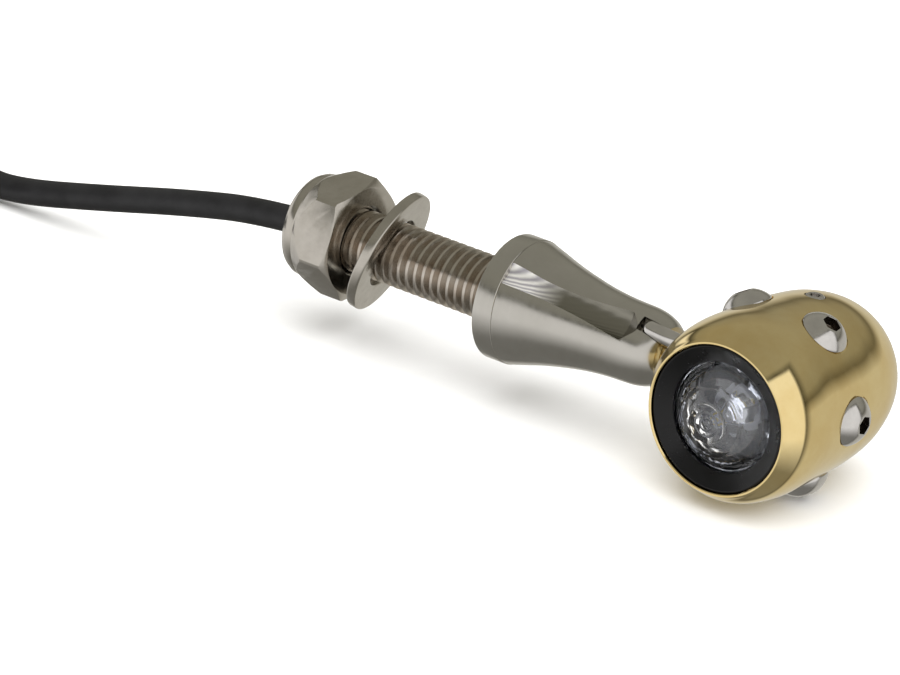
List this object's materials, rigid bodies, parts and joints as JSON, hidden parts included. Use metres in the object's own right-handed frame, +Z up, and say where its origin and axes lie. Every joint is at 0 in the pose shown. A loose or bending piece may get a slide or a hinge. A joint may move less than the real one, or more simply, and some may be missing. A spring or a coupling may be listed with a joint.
{
  "type": "navigation light",
  "caption": "Bullet marker light: polished brass housing on a turned stem with a hollow threaded stud, lock nut, washer and lead.",
  "frame": {"origin": "centre of the collar's mounting face, on the stud's axis", "axes": "+X along the stem from the stud to the head, the lens looks along -Y, +Z up"},
  "size_m": [0.212, 0.0636, 0.0283],
  "materials": {
    "stainless": "turned and polished",
    "nut_steel": "stainless",
    "brass": "polished",
    "black_anodised": "black anodised",
    "lens_clear": "clear polycarbonate",
    "optic_clear": "clear moulded",
    "led_yellow": "silicone and phosphor",
    "board_white": "white solder mask",
    "board_green": "green solder mask",
    "pad_grey": "silicone",
    "aluminium": "machined",
    "component": "moulded",
    "rubber_black": "matte",
    "nylon": "natural nylon",
    "wire_red": "insulation",
    "cable_black": "matte sleeve",
    "strap": "woven",
    "contact_brass": "tinned",
    "connector_black": "moulded"
  },
  "bodies": {
    "mount": {"stem": "stainless", "base_collar": "stainless", "threaded_stud": "stainless", "clamp_screw": "nut_steel", "cable_grommet": "rubber_black", "lead_wires": "wire_red", "cable": "cable_black", "cable_coil": "cable_black", "cable_tail": "cable_black", "coil_tie": "strap", "connector_boot": "rubber_black", "lead_connector": "connector_black", "connector_pins": "contact_brass", "connector_seal": "rubber_black"},
    "washer": {"flat_washer": "nut_steel"},
    "nut": {"lock_nut": "nut_steel", "nylon_insert": "nylon"},
    "head": {"bullet_housing": "brass", "boss_seal": "rubber_black", "bezel_ring": "black_anodised", "front_lens": "lens_clear", "lens_seal": "rubber_black", "collimator_optic": "optic_clear", "led_emitter": "led_yellow", "led_board": "board_white", "thermal_pad": "pad_grey", "heat_sink": "aluminium", "driver_board": "board_green", "driver_parts": "component", "head_wires": "wire_red", "button_screws": "nut_steel", "grub_screw": "nut_steel"}
  },
  "joints": [
    {"name": "head_swivel", "type": "hinge", "parent": "mount", "child": "head", "pos_m": [0.0286, 0, 0], "axis": [1, 0, 0], "range_deg": [-90, 90]},
    {"name": "washer_travel", "type": "slide", "parent": "mount", "child": "washer", "axis": [1, 0, 0], "range_m": [0, 0.0183]},
    {"name": "nut_turn", "type": "hinge", "parent": "washer", "child": "nut", "pos_m": [-0.0325, 0, 0], "axis": [1, 0, 0], "range_deg": [0, 4392]}
  ],
  "couplings": [
    {"joint": "nut_turn", "follows": "washer_travel", "rad_per_m": 4188.8}
  ]
}
